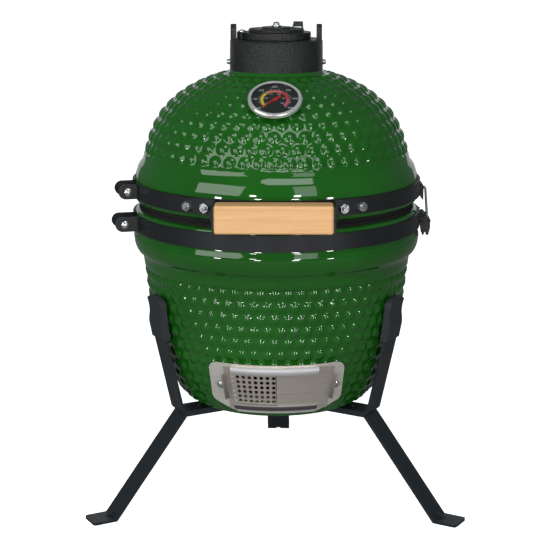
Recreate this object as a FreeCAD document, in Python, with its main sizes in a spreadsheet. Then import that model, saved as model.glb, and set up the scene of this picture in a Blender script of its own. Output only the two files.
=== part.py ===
import FreeCAD, Part
import math
import os
import re

import Sketcher

Vector = FreeCAD.Vector

# Small ceramic kamado grill on a low three-legged stand. Millimetres, +Z up.
# Origin: on the ground under the vertical axis of the ceramic body. The front faces -Y.
# Azimuths are measured from the front, positive towards +X.

SIZES = {
    # Ceramic body
    "ceramic_radius": 170.0,
    "ceramic_wall": 21.0,
    "base_bottom": 122.6,
    "base_top": 361.0,
    "lid_bottom": 370.2,
    "cavity_floor": 147.0,
    "gasket_thick": 4.3,
    "gasket_width": 16.0,
    "neck_radius": 48.5,
    "neck_top": 548.0,
    "throat_radius": 36.0,
    # Clamp bands
    "band_thick": 3.0,
    "band_height": 19.0,
    "base_band_low": 337.7,
    "lid_band_low": 376.4,
    "lid_ear_reach": 194.3,
    "base_ear_reach": 198.7,
    "ear_bolt_back": 11.5,
    "ear_height": 17.2,
    "ear_gap": 30.0,
    "ear_thick": 3.0,
    "ear_turn": 14.2,
    # Draft door at the foot of the base, on a conical wall
    "cone_radius": 132.0,
    "cone_level": 160.0,
    "cone_slope": 0.36,
    "frame_low": 135.5,
    "frame_high": 199.5,
    "frame_span": 72.0,
    "frame_shift": 2.1,
    "frame_half": 78.8,
    "screw_turn_left": -26.4,
    "screw_turn_right": 30.2,
    "screen_tab_turn": -23.4,
    "sheet": 1.2,
    "slider_thick": 1.0,
    "slider_low": 140.3,
    "slider_high": 195.1,
    "rail_lip": 8.6,
    "rail_span": 40.0,
    "draft_low": 149.0,
    "draft_high": 187.0,
    "draft_span": 40.0,
    "hole_radius": 2.15,
    "hole_pitch": 6.35,
    "hole_turn": 2.85,
    "tab_low": 154.0,
    "tab_high": 187.0,
    "tab_reach": 13.0,
    # Stand
    "bar_width": 30.0,
    "bar_thick": 3.5,
    "tab_bottom": 115.6,
    "leg_knee": 132.6,
    "foot_bend": 226.4,
    "foot_reach": 254.2,
    "arm_knee": 137.0,
    "arm_bend_radius": 159.7,
    "arm_bend_level": 219.0,
    "arm_top": 254.0,
    "pad_width": 34.0,
    "pad_low": 213.5,
    "pad_high": 266.0,
    "hub_radius": 56.0,
    # Lid handle
    "grip_length": 130.2,
    "grip_low": 364.6,
    "grip_high": 396.2,
    "grip_back": 181.0,
    "grip_front": 208.0,
    "bracket_thick": 2.5,
    "stud_radius": 3.0,
    "stud_level": 385.4,
    # Chimney cap
    "collar_radius": 55.0,
    "collar_low": 524.0,
    "collar_high": 560.0,
    "collar_bore": 50.8,
    "collar_plate": 9.5,
    "cap_ear_in": 47.5,
    "cap_ear_high": 577.5,
    "disc_radius": 41.0,
    "disc_low": 560.4,
    "disc_thick": 7.8,
    "pivot_reach": 40.5,
    "lobe_radius": 6.2,
    "wheel_radius": 33.0,
    "wheel_gap": 0.3,
    "port_radius": 5.2,
    "port_reach": 25.0,
    "bolt_radius": 3.0,
    "running": 0.05,
    # Thermometer
    "gauge_reach": 116.0,
    "gauge_level": 498.2,
    "gauge_tilt": 56.5,
    "gauge_radius": 30.5,
    "stem_radius": 4.0,
    "stem_length": 72.0,
    # Rear hinge
    "hinge_reach": 197.0,
    "hinge_level": 366.0,
    "hinge_pin_radius": 4.0,
    "hinge_stud_turn": 5.4,
    # Side latch
    "latch_pivot_reach": 177.2,
    "latch_pivot_level": 350.6,
    "bail_pivot_reach": 182.6,
    "bail_pivot_level": 343.0,
    # Inner parts
    "box_radius": 124.0,
    "box_top": 255.0,
    "ring_radius": 128.0,
    "ring_top": 306.0,
    "coal_grate_radius": 81.0,
    "coal_grate_level": 184.3,
    "grate_radius": 127.0,
    "grate_wire": 2.5,
}

doc = FreeCAD.newDocument("Kamado")
sheet = doc.addObject("Spreadsheet::Sheet", "Sizes")
for row, (alias, number) in enumerate(SIZES.items(), start=1):
    sheet.set(f"A{row}", alias)
    sheet.set(f"B{row}", str(number))
    sheet.setAlias(f"B{row}", alias)
working = doc.addObject("Spreadsheet::Sheet", "Working")
doc.recompute()

SUB_PARTS = []


# ---------------------------------------------------------------- sheet and document helpers

def size(alias):
    """The number in the sheet's cell."""
    return float(sheet.get(alias))


def bound(expression):
    """The expression with the sheet's name in front of each alias."""
    return re.sub(r"[a-z_]+", lambda word: "Sizes." + word[0] if word[0] in SIZES else word[0],
                  expression)


def number_of(expression):
    """The present value of a number or of an expression of aliases, worked out on a spare sheet."""
    if not isinstance(expression, str):
        return float(expression)
    working.set("A1", "=" + bound(expression))
    working.recompute()
    return float(working.get("A1"))


def bind(feature, name, expression):
    """Set a property to a number, or bind it to an expression of aliases."""
    if isinstance(expression, str):
        feature.setExpression(name, bound(expression))
    else:
        setattr(feature, name, expression)


def cone(level, offset):
    """Radius of the conical wall at the draft door, moved out by an offset."""
    return f"cone_radius + cone_slope * ({level} - cone_level) + {offset}"


def turned(angle):
    """A placement turned about +Z."""
    return FreeCAD.Placement(Vector(), FreeCAD.Rotation(Vector(0, 0, 1), angle))


def outward(azimuth):
    """The level unit vector that points outwards at an azimuth."""
    return Vector(math.sin(math.radians(azimuth)), -math.cos(math.radians(azimuth)), 0)


def new_body(name):
    body = doc.addObject("PartDesign::Body", name)
    body.Label = name
    SUB_PARTS.append(body)
    return body


def new_feature(name, shape, placement=None):
    """A sub-part whose shape is made by Part's functions from the sheet's sizes."""
    feature = doc.addObject("Part::Feature", name)
    feature.Label = name
    feature.Shape = shape
    if placement is not None:
        feature.Placement = placement
    SUB_PARTS.append(feature)
    return feature


def new_sketch(body, role, azimuth=None, offset=None):
    """A sketch on an origin plane, turned about +Z to an azimuth or moved along its normal."""
    sketch = body.newObject("Sketcher::SketchObject", f"{body.Name}_outline")
    plane = next(item for item in body.Origin.OriginFeatures if item.Role == role)
    sketch.AttachmentSupport = [(plane, "")]
    sketch.MapMode = "FlatFace"
    if azimuth is not None:
        turn = FreeCAD.Rotation(Vector(0, 1, 0), azimuth - 90)
        sketch.AttachmentOffset = FreeCAD.Placement(Vector(), turn)
    if offset is not None:
        bind_offset(sketch, offset)
    return sketch


def bind_offset(sketch, offset):
    if isinstance(offset, str):
        sketch.setExpression("AttachmentOffset.Base.z", bound(offset))
    else:
        sketch.AttachmentOffset = FreeCAD.Placement(Vector(0, 0, offset), FreeCAD.Rotation())


def tilted_sketch(body, azimuth, reach, level, tilt):
    """A sketch at a reach and level whose normal points outwards, tilted up from the horizontal."""
    sketch = new_sketch(body, "YZ_Plane")
    turn = FreeCAD.Rotation(Vector(0, 1, 0), azimuth - 90)
    lean = FreeCAD.Rotation(Vector(1, 0, 0), -tilt)
    spot = turn.multVec(Vector(0, number_of(level), number_of(reach)))
    sketch.AttachmentOffset = FreeCAD.Placement(spot, turn.multiply(lean))
    return sketch


def dimension(sketch, kind, geometry, point, expression):
    """A dimension from the sketch's origin to a point, bound to the sheet."""
    rule = Sketcher.Constraint(kind, -1, 1, geometry, point, number_of(expression))
    place = sketch.addConstraint(rule)
    if isinstance(expression, str):
        sketch.setExpression(f"Constraints[{place}]", bound(expression))


def arc_between(start, end, radius):
    """An arc between two points: a positive radius turns to the left on the way."""
    chord = end - start
    height = math.sqrt(radius * radius - chord.Length ** 2 / 4)
    side = Vector(-chord.y, chord.x, 0).normalize()
    middle = (start + end) * 0.5 + side * math.copysign(height, radius)
    first, last = (start, end) if radius > 0 else (end, start)
    angles = [math.atan2(spot.y - middle.y, spot.x - middle.x) for spot in (first, last)]
    return Part.ArcOfCircle(Part.Circle(middle, Vector(0, 0, 1), abs(radius)), angles[0], angles[1])


def add_outline(sketch, corners):
    """A closed outline. A corner is (across, up) or, before an arc, (across, up, radius)."""
    first = sketch.GeometryCount
    spots = [Vector(number_of(corner[0]), number_of(corner[1]), 0) for corner in corners]
    starts = []
    ends = []
    for index, corner in enumerate(corners):
        start, end = spots[index], spots[(index + 1) % len(spots)]
        radius = corner[2] if len(corner) > 2 else None
        edge = Part.LineSegment(start, end) if radius is None else arc_between(start, end, radius)
        sketch.addGeometry(edge, False)
        forward = radius is None or radius > 0
        starts.append(1 if forward else 2)
        ends.append(2 if forward else 1)
        if radius is not None:
            sketch.addConstraint(Sketcher.Constraint("Radius", first + index, abs(radius)))
    for index, corner in enumerate(corners):
        here = first + index
        following = (index + 1) % len(corners)
        joined = Sketcher.Constraint("Coincident", here, ends[index], first + following, starts[following])
        sketch.addConstraint(joined)
        dimension(sketch, "DistanceX", here, starts[index], corner[0])
        dimension(sketch, "DistanceY", here, starts[index], corner[1])


def add_box(sketch, left, right, low, high):
    add_outline(sketch, [(left, low), (right, low), (right, high), (left, high)])


def add_circle(sketch, across, up, radius):
    spot = Vector(number_of(across), number_of(up), 0)
    circle = sketch.addGeometry(Part.Circle(spot, Vector(0, 0, 1), number_of(radius)), False)
    dimension(sketch, "DistanceX", circle, 3, across)
    dimension(sketch, "DistanceY", circle, 3, up)
    place = sketch.addConstraint(Sketcher.Constraint("Radius", circle, number_of(radius)))
    if isinstance(radius, str):
        sketch.setExpression(f"Constraints[{place}]", bound(radius))


def extrude(body, kind, sketch, length, midplane=False, back=False):
    """A PartDesign Pad or Pocket of a sketch."""
    feature = body.newObject(f"PartDesign::{kind}", f"{body.Name}_{kind}")
    feature.Profile = sketch
    bind(feature, "Length", length)
    feature.Midplane = midplane
    feature.Reversed = back
    return feature


def spin(body, kind, sketch, angle=360.0):
    """A PartDesign Revolution or Groove about the sketch's upright axis, centred on the sketch."""
    feature = body.newObject(f"PartDesign::{kind}", f"{body.Name}_{kind}")
    feature.Profile = sketch
    feature.ReferenceAxis = (sketch, ["V_Axis"])
    bind(feature, "Angle", angle)
    feature.Midplane = angle != 360.0
    return feature


def polar(body, original, count, angle=360.0):
    """Copies of a feature about the body's upright axis."""
    feature = body.newObject("PartDesign::PolarPattern", f"{body.Name}_pattern")
    feature.Originals = [original]
    axis = next(item for item in body.Origin.OriginFeatures if item.Role == "Z_Axis")
    feature.Axis = (axis, [""])
    feature.Angle = angle
    feature.Occurrences = count
    body.Tip = feature
    return feature


def fillet(body, base, radius, wanted):
    """A fillet on the edges of the base feature that a test picks."""
    doc.recompute()
    names = [f"Edge{place}" for place, edge in enumerate(base.Shape.Edges, start=1) if wanted(edge)]
    feature = body.newObject("PartDesign::Fillet", f"{body.Name}_fillet")
    feature.Base = (base, names)
    feature.Radius = radius
    return feature


def turned_body(name, corners, placement=None):
    """A body of revolution about its own upright axis."""
    body = new_body(name)
    sketch = new_sketch(body, "XZ_Plane")
    add_outline(sketch, corners)
    spin(body, "Revolution", sketch)
    if placement is not None:
        body.Placement = placement
    return body


def arc_of(body, azimuth, span, corners, kind="Revolution"):
    """A partial revolution of an outline, centred on an azimuth."""
    sketch = new_sketch(body, "XZ_Plane", azimuth=azimuth)
    add_outline(sketch, corners)
    return spin(body, kind, sketch, span)


def plate(body, role, offset, length, corners, kind="Pad", back=False):
    """A pad or pocket of an outline on a plane moved along its normal."""
    sketch = new_sketch(body, role, offset=offset)
    add_outline(sketch, corners)
    return extrude(body, kind, sketch, length, back=back)


def bore(body, azimuth, reach, level, radius, depth, tilt=0.0):
    """A round hole that runs outwards from a reach and level at an azimuth."""
    sketch = tilted_sketch(body, azimuth, reach, level, tilt)
    add_circle(sketch, 0, 0, radius)
    return extrude(body, "Pocket", sketch, depth, back=True)


# ---------------------------------------------------------------- fasteners

def seated(solid, seat, direction):
    solid.Placement = FreeCAD.Placement(seat, FreeCAD.Rotation(Vector(0, 0, 1), direction))
    return solid


def prism(across_flats, height):
    reach = across_flats / math.sqrt(3)
    spots = [Vector(reach, 0, 0)]
    for turn in range(60, 360, 60):
        angle = math.radians(turn)
        spots.append(Vector(reach * math.cos(angle), reach * math.sin(angle), 0))
    return Part.Face(Part.makePolygon(spots + spots[:1])).extrude(Vector(0, 0, height))


def hex_screw(flats, head, radius, length, seat, direction):
    """A hexagon screw: the domed head stands along the direction, the shank runs back from the seat."""
    dome = Part.makeSphere(flats * 0.85, Vector(0, 0, head - flats * 0.85))
    crown = prism(flats, head).common(dome)
    shank = Part.makeCylinder(radius, length, Vector(0, 0, -length))
    return seated(crown.fuse(shank).removeSplitter(), seat, direction)


def hex_nut(flats, height, radius, seat, direction):
    return seated(prism(flats, height).cut(Part.makeCylinder(radius, height)), seat, direction)


def round_screw(head_radius, head, radius, length, seat, direction):
    """A low round-headed screw: the head stands along the direction."""
    crown = Part.makeCone(head_radius, head_radius * 0.7, head)
    shank = Part.makeCylinder(radius, length, Vector(0, 0, -length))
    return seated(crown.fuse(shank).removeSplitter(), seat, direction)


def stud_group(name, azimuths, level):
    """Studs welded in the band, each with its nut on the bracket."""
    solids = []
    radius = size("stud_radius")
    face = size("ceramic_radius") + 0.3 + size("band_thick") + 0.1 + size("bracket_thick")
    for azimuth in azimuths:
        way = outward(azimuth)
        root = way * (size("ceramic_radius") + 0.5) + Vector(0, 0, level)
        seat = way * (face + 0.1) + Vector(0, 0, level)
        solids.append(Part.makeCylinder(radius, 14.0, root, way))
        solids.append(hex_nut(10.0, 5.0, radius + 0.02, seat, way))
    return new_feature(name, Part.makeCompound(solids))


# ---------------------------------------------------------------- ceramic body

def base_shell():
    body = new_body("base_shell")
    sketch = new_sketch(body, "XZ_Plane")
    add_outline(sketch, [
        (0, "base_bottom"), ("ceramic_radius - 82", "base_bottom", 40.0),
        ("ceramic_radius - 52", "base_bottom + 12.4", 117.0),
        ("ceramic_radius - 31", "base_bottom + 57.4", 480.0),
        ("ceramic_radius - 10.2", "base_bottom + 162.4"),
        ("ceramic_radius - 8.6", "base_bottom + 177.4", -12.0),
        ("ceramic_radius - 2.4", "base_bottom + 187.4", 25.0),
        ("ceramic_radius + 2.2", "base_bottom + 201", 12.0),
        ("ceramic_radius", "base_bottom + 212"), ("ceramic_radius", "base_top - 4", 4.0),
        ("ceramic_radius - 4", "base_top"), ("ceramic_radius - ceramic_wall", "base_top"),
        ("ceramic_radius - ceramic_wall", "base_top - 26", -90.0),
        ("ceramic_radius - 33", "base_top - 61", -600.0),
        ("ceramic_radius - 45", "base_top - 161", -140.0),
        ("ceramic_radius - 60", "cavity_floor + 11", -25.0),
        ("ceramic_radius - 76", "cavity_floor"), (0, "cavity_floor"),
    ])
    spin(body, "Revolution", sketch)
    land = [
        (cone(132, -0.4), 132), (cone(132, 12), 132), (cone(203, 14), 203), (cone(203, -0.4), 203)]
    arc_of(body, 0, "frame_span + 5", land, kind="Groove")
    opening = [(95, "draft_low"), (150, "draft_low"), (150, "draft_high"), (95, "draft_high")]
    arc_of(body, 0, "draft_span", opening, kind="Groove")
    for azimuth in (size("screw_turn_left"), size("screw_turn_right")):
        bore(body, azimuth, "cone_radius - 11", 178.5, 2.55, 20.0, tilt=-19.8)


def lid_shell():
    body = new_body("lid_shell")
    sketch = new_sketch(body, "XZ_Plane")
    add_outline(sketch, [
        ("ceramic_radius - 4", "lid_bottom", 4.0), ("ceramic_radius", "lid_bottom + 4"),
        ("ceramic_radius", "lid_bottom + 24", 40.0), ("ceramic_radius - 2.8", "lid_bottom + 37.5", 16.0),
        ("ceramic_radius - 8", "lid_bottom + 46.5", -18.0),
        ("ceramic_radius - 11.2", "lid_bottom + 56", 122.0),
        ("ceramic_radius - 31.5", "lid_bottom + 106", 118.0),
        ("ceramic_radius - 64", "lid_bottom + 134", 180.0),
        ("ceramic_radius - 114", "lid_bottom + 153.2", -8.0),
        ("neck_radius", "lid_bottom + 156.4"), ("neck_radius", "neck_top"),
        ("throat_radius", "neck_top"), ("throat_radius", "neck_top - 42", -160.0),
        ("ceramic_radius - 75", "lid_bottom + 118", -120.0),
        ("ceramic_radius - 32", "lid_bottom + 60", -120.0),
        ("ceramic_radius - ceramic_wall", "lid_bottom + 30"),
        ("ceramic_radius - ceramic_wall", "lid_bottom"),
    ])
    spin(body, "Revolution", sketch)
    bore(body, 0, "gauge_reach - 20", "gauge_level - 30.2", "stem_radius + 0.3", 60.0, tilt=56.5)


def gaskets():
    inner = "ceramic_radius - 2 - gasket_width"
    outer = "ceramic_radius - 4.5"
    turned_body("base_gasket", [
        (inner, "base_top"), (outer, "base_top"), (outer, "base_top + gasket_thick"),
        (inner, "base_top + gasket_thick")])
    turned_body("lid_gasket", [
        (inner, "lid_bottom - gasket_thick"), (outer, "lid_bottom - gasket_thick"),
        (outer, "lid_bottom"), (inner, "lid_bottom")])
    turned_body("chimney_gasket", [
        ("neck_radius + 0.1", "collar_low + 3"), ("collar_bore - 0.1", "collar_low + 3"),
        ("collar_bore - 0.1", "neck_top - 2"), ("neck_radius + 0.1", "neck_top - 2")])


def clamp_band(side, stud_azimuths):
    """A steel band with two bolted ears, drawn with the ears towards -X and then turned."""
    body = new_body(f"{side}_band")
    low = f"{side}_band_low"
    high = f"{low} + band_height"
    reach = f"{side}_ear_reach"
    under = f"{low} + (band_height - ear_height) / 2"
    over = f"{low} + (band_height + ear_height) / 2"
    middle = f"{low} + band_height / 2"
    rounding = size("ear_height") / 2
    inner = "ceramic_radius + 0.3"
    sketch = new_sketch(body, "XZ_Plane")
    add_box(sketch, inner, f"{inner} + band_thick", low, high)
    spin(body, "Revolution", sketch)
    ears = new_sketch(body, "XZ_Plane")
    add_outline(ears, [
        ("1.5 - ceramic_radius", over), (f"ear_height / 2 - {reach}", over, rounding),
        (f"-{reach}", middle, rounding), (f"ear_height / 2 - {reach}", under),
        ("1.5 - ceramic_radius", under)])
    extrude(body, "Pad", ears, "ear_gap + 2 * ear_thick", midplane=True)
    gap = new_sketch(body, "XZ_Plane")
    add_box(gap, f"-{reach} - 5", "6 - ceramic_radius", f"{low} - 1", f"{high} + 1")
    extrude(body, "Pocket", gap, "ear_gap", midplane=True)
    roots = [(120, f"{low} - 1"), (inner, f"{low} - 1"), (inner, f"{high} + 1"), (120, f"{high} + 1")]
    arc_of(body, -90, 20.0, roots, kind="Groove")
    hole = new_sketch(body, "XZ_Plane")
    add_circle(hole, f"ear_bolt_back - {reach}", middle, "bolt_radius + 0.1")
    extrude(body, "Pocket", hole, "ear_gap + 20", midplane=True)
    for azimuth, level in stud_azimuths:
        bore(body, azimuth - size("ear_turn"), "ceramic_radius - 1", level, "stud_radius + 0.05", 8.0)
    body.Placement = turned(size("ear_turn"))


def clamp_hardware(side):
    """The bolt and nut that draw a band's ears together."""
    half = size("ear_gap") / 2 + size("ear_thick")
    level = size(f"{side}_band_low") + size("band_height") / 2
    radius = size("bolt_radius")
    across = size("ear_bolt_back") - size(f"{side}_ear_reach")
    head = Vector(across, -half - 0.1, level)
    tail = Vector(across, half + 0.1, level)
    bolt = hex_screw(9.0, 4.0, radius, 2 * half + 8, head, Vector(0, -1, 0))
    nut = hex_nut(10.0, 5.0, radius + 0.02, tail, Vector(0, 1, 0))
    new_feature(f"{side}_clamp_hardware", Part.makeCompound([bolt, nut]), turned(size("ear_turn")))


# ---------------------------------------------------------------- inner parts

def fire_box():
    body = new_body("fire_box")
    sketch = new_sketch(body, "XZ_Plane")
    add_outline(sketch, [
        ("box_radius - 54", "cavity_floor + 0.3"), ("box_radius - 36", "cavity_floor + 0.3"),
        ("box_radius - 24", "cavity_floor + 15"), ("box_radius - 6", "cavity_floor + 56"),
        ("box_radius", "box_top"), ("box_radius - 12", "box_top"),
        ("box_radius - 18", "cavity_floor + 58"), ("box_radius - 38", "coal_grate_level - 0.3"),
        ("box_radius - 54", "coal_grate_level - 0.3")])
    spin(body, "Revolution", sketch)
    mouth = [(60, "draft_low"), (128, "draft_low"), (128, 181), (60, 181)]
    arc_of(body, 0, "draft_span + 6", mouth, kind="Groove")


def charcoal_grate():
    body = new_body("charcoal_grate")
    disc = new_sketch(body, "XY_Plane", offset="coal_grate_level")
    add_circle(disc, 0, 0, "coal_grate_radius")
    extrude(body, "Pad", disc, 6.0)
    slots = new_sketch(body, "XY_Plane", offset="coal_grate_level - 1")
    for row in range(-4, 5):
        across = row * 15.0
        half = math.sqrt(70.0 ** 2 - across ** 2)
        add_box(slots, across - 3.5, across + 3.5, 4, half)
        add_box(slots, across - 3.5, across + 3.5, -half, -4)
    extrude(body, "Pocket", slots, 10.0, back=True)


def fire_ring():
    body = new_body("fire_ring")
    sketch = new_sketch(body, "XZ_Plane")
    add_box(sketch, "ring_radius - 16", "ring_radius", "box_top + 0.3", "ring_top")
    spin(body, "Revolution", sketch)
    low = "box_top - 2"
    notch = arc_of(body, 45, 12.0, [(100, low), (140, low), (140, "box_top + 14"), (100, "box_top + 14")],
                   kind="Groove")
    polar(body, notch, 4)


def cooking_grate():
    """Round bars joined at a rim ring."""
    level = "ring_top + 0.3 + grate_wire"
    rim = doc.addObject("Part::Torus", "grate_rim")
    bind(rim, "Radius1", "grate_radius - grate_wire")
    bind(rim, "Radius2", "grate_wire")
    rim.setExpression("Placement.Base.z", bound(level))
    bars = [rim]
    for row in range(-8, 9):
        across = row * 14.0
        half = math.sqrt((size("grate_radius") - 3) ** 2 - across ** 2)
        bar = doc.addObject("Part::Cylinder", f"grate_bar_{row + 8}")
        bind(bar, "Radius", "grate_wire")
        bar.Height = 2 * half
        bar.Placement = FreeCAD.Placement(
            Vector(across, half, number_of(level)), FreeCAD.Rotation(Vector(1, 0, 0), 90))
        bars.append(bar)
    for across in (-60.0, 60.0):
        half = math.sqrt((size("grate_radius") - 3) ** 2 - across ** 2)
        bar = doc.addObject("Part::Cylinder", "grate_cross_bar")
        bind(bar, "Radius", "grate_wire")
        bar.Height = 2 * half
        bar.Placement = FreeCAD.Placement(
            Vector(-half, across, number_of(level)), FreeCAD.Rotation(Vector(0, 1, 0), 90))
        bars.append(bar)
    grate = doc.addObject("Part::MultiFuse", "cooking_grate")
    grate.Label = "cooking_grate"
    grate.Shapes = bars
    SUB_PARTS.append(grate)


# ---------------------------------------------------------------- draft door

def band_on_cone(low, high, near, far):
    """A strip along the conical wall between two levels and two offsets."""
    return [(cone(low, near), low), (cone(low, far), low), (cone(high, far), high), (cone(high, near), high)]


def draft_frame():
    body = new_body("draft_frame")
    arc_of(body, 0.8, "frame_span", band_on_cone("frame_low", "frame_high", 0, "sheet"))
    arc_of(body, 0, "draft_span - 1", band_on_cone("draft_low + 1", "draft_high - 1", -3, 5), kind="Groove")
    top = "slider_high + 0.4"
    under = "slider_high - rail_lip + 1.6"
    arc_of(body, 0, "rail_span", [
        (cone(top, 0.6), top), (cone(top, 4.1), top), (cone(top, 4.3), under), (cone(top, 5.4), under),
        (cone(top, 5.6), top + " + 1.2"), (cone(top + " + 1.2", 0.6), top + " + 1.2")])
    foot = "slider_low - 0.4"
    over = "slider_low + rail_lip - 2.2"
    arc_of(body, 0.5, "rail_span + 3", [
        (cone(foot, 0.6), foot), (cone(foot, 4.1), foot), (cone(over, 4.1), over), (cone(over, 5.2), over),
        (cone(foot + " - 1.2", 5.2), foot + " - 1.2"), (cone(foot + " - 1.2", 0.6), foot + " - 1.2")])
    corners = new_sketch(body, "XZ_Plane", offset=90.0)
    add_box(corners, -100, 100, 120, 220)
    low = "frame_low"
    high = "frame_high"
    left = "frame_shift - frame_half"
    right = "frame_shift + frame_half"
    add_outline(corners, [
        (-42, low), (46, low), (f"{right} - 20", f"{low} + 5.5"), (f"{right} - 7", f"{low} + 12", 12.0),
        (f"{right} - 3", f"{low} + 20"), (right, f"{high} - 9", 10.0), (f"{right} - 10", high),
        (f"{left} + 10", high, 10.0), (left, f"{high} - 9"), (f"{left} + 3", f"{low} + 20", 12.0),
        (f"{left} + 7", f"{low} + 12"), (f"{left} + 20", f"{low} + 5.5")])
    extrude(body, "Pocket", corners, 90.0, back=True)
    for azimuth in (size("screw_turn_left"), size("screw_turn_right")):
        bore(body, azimuth, "cone_radius - 11", 178.5, 2.55, 30.0, tilt=-19.8)


def slider_tab(body, azimuth, near):
    """A thumb tab turned outwards at a slider's end."""
    low, high = "tab_low", "tab_high"
    arc_of(body, azimuth, 0.45, [
        (cone(low, near), low), (cone(low, "tab_reach"), low), (cone(high, "tab_reach"), high),
        (cone(high, near), high)])


def draft_screen():
    body = new_body("draft_screen")
    arc_of(body, -11.75, 24.7, band_on_cone("slider_low", "slider_high", 1.5, "1.5 + slider_thick"))
    slider_tab(body, size("screen_tab_turn"), 1.5)
    column = new_sketch(body, "YZ_Plane", azimuth=-20.4)
    for row in range(6):
        add_circle(column, 0, f"167.2 + hole_pitch * {row - 2.5}", "hole_radius")
    holes = extrude(body, "Pocket", column, 170.0, back=True)
    polar(body, holes, 8, size("hole_turn") * 7)


def draft_door():
    body = new_body("draft_door")
    arc_of(body, 14.45, 27.1, band_on_cone("slider_low", "slider_high", 2.8, "2.8 + slider_thick"))
    slider_tab(body, 27.75, 2.8)


def draft_frame_screws():
    solids = []
    lean = math.radians(-19.8)
    for azimuth in (size("screw_turn_left"), size("screw_turn_right")):
        way = outward(azimuth) * math.cos(lean) + Vector(0, 0, math.sin(lean))
        root = outward(azimuth) * (size("cone_radius") - 11) + Vector(0, 0, 178.5)
        seat = root + way * 17.9
        solids.append(hex_screw(8.0, 6.5, 2.5, 15.0, seat, way))
    new_feature("draft_frame_screws", Part.makeCompound(solids))


# ---------------------------------------------------------------- stand

LEGS = {"front_left": -60, "front_right": 60, "rear": 180}


def stand_holes(body, reaches):
    sketch = new_sketch(body, "XY_Plane", offset="tab_bottom - 5")
    for reach in reaches:
        add_circle(sketch, reach, 0, 2.6)
    extrude(body, "Pocket", sketch, 20.0, back=True)


def cradle_arm(side):
    """A flat bar from the hub out under the body and up its side, drawn towards +X."""
    body = new_body(f"cradle_arm_{side}")
    sketch = new_sketch(body, "XZ_Plane")
    top = "tab_bottom + 2 * bar_thick"
    low = "tab_bottom + bar_thick"
    add_outline(sketch, [
        (24, low), ("arm_knee - 4.6", low, 8.0), ("arm_knee + 1", f"{low} + 6.6"),
        ("arm_bend_radius", "arm_bend_level", 30.0), ("arm_bend_radius + 1.5", "arm_bend_level + 8"),
        ("arm_bend_radius + 1.5", "arm_top"), ("arm_bend_radius + 1.5 - bar_thick", "arm_top"),
        ("arm_bend_radius + 1.5 - bar_thick", "arm_bend_level + 8.2", -27.0),
        ("arm_bend_radius - 3.45", "arm_bend_level + 0.8"), ("arm_knee - 2.45", f"{low} + 7.4", -5.0),
        ("arm_knee - 6.1", top), (24, top)])
    extrude(body, "Pad", sketch, "bar_width", midplane=True)
    stand_holes(body, (42, 75, 108))
    body.Placement = turned(LEGS[side] - 90)


def leg(side):
    """A flat bar under the arm, down and outwards to a foot, drawn towards +X."""
    body = new_body(f"leg_{side}")
    top = "tab_bottom + bar_thick"
    sketch = new_sketch(body, "XZ_Plane")
    add_outline(sketch, [
        (60, "tab_bottom"), ("leg_knee - 0.474 * bar_thick", "tab_bottom"),
        ("foot_bend - 0.474 * bar_thick", 0), ("foot_reach", 0), ("foot_reach", "bar_thick"),
        ("foot_bend", "bar_thick"), ("leg_knee", top), (60, top)])
    bar = extrude(body, "Pad", sketch, "bar_width", midplane=True)
    edge = size("foot_reach") - 0.1
    fillet(body, bar, 3.5, lambda item: item.BoundBox.XMin > edge and item.BoundBox.ZLength > 3)
    stand_holes(body, (75, 108))
    rib = new_sketch(body, "XZ_Plane")
    add_outline(rib, [
        ("foot_bend - 7", "bar_thick + 7"), ("foot_bend - 4", 2), ("foot_bend + 7", 2),
        ("foot_bend + 8", "bar_thick")])
    extrude(body, "Pad", rib, 5.0, midplane=True)
    groove = new_sketch(body, "YZ_Plane", offset="foot_bend - 12")
    add_outline(groove, [(-6.3, -1), (6.3, -1), (0, 2.6)])
    extrude(body, "Pocket", groove, 18.0, back=True)
    body.Placement = turned(LEGS[side] - 90)


def arm_pad(side):
    """A moulded cushion that slips over the arm's end, drawn towards +X."""
    body = new_body(f"arm_pad_{side}")
    sketch = new_sketch(body, "XZ_Plane")
    face = "arm_bend_radius"
    add_outline(sketch, [
        (f"{face} + 0.6", "pad_low"), (f"{face} + 4.3", "pad_low + 18", 60.0),
        (f"{face} + 3.6", "pad_low + 30", -40.0), (f"{face} + 6.4", "pad_low + 46", 3.0),
        (f"{face} + 5", "pad_high - 2", 4.0), (f"{face} + 2", "pad_high"), (f"{face} - 0.8", "pad_high"),
        (f"{face} - 2.9", "arm_top + 2"), (f"{face} - 4.1", "arm_bend_level + 21"),
        (f"{face} - 6.9", "pad_low")])
    block = extrude(body, "Pad", sketch, "pad_width", midplane=True)
    high = size("pad_high") - 0.1
    fillet(body, block, 10.0, lambda item: item.BoundBox.ZMin > high and item.BoundBox.YLength < 1)
    slot = new_sketch(body, "XZ_Plane")
    add_outline(slot, [
        (f"{face} - 6", "pad_low - 4"), (f"{face} - 3.55", "arm_bend_level + 0.8"),
        (f"{face} + 1.4 - bar_thick", "arm_bend_level + 8.3"),
        (f"{face} + 1.4 - bar_thick", "arm_top + 0.2"),
        (f"{face} + 1.65", "arm_top + 0.2"), (f"{face} + 1.65", "arm_bend_level + 8", -30.0),
        (f"{face} + 0.2", "arm_bend_level"), (f"{face} - 2.1", "pad_low - 4")])
    extrude(body, "Pocket", slot, "bar_width + 0.2", midplane=True)
    body.Placement = turned(LEGS[side] - 90)


def stand_plate():
    body = new_body("stand_plate")
    sketch = new_sketch(body, "XY_Plane", offset="tab_bottom")
    add_circle(sketch, 0, 0, "hub_radius")
    add_circle(sketch, 0, 0, 12)
    for azimuth in LEGS.values():
        spot = outward(azimuth) * 42
        add_circle(sketch, spot.x, spot.y, 2.6)
    extrude(body, "Pad", sketch, "bar_thick")


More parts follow.
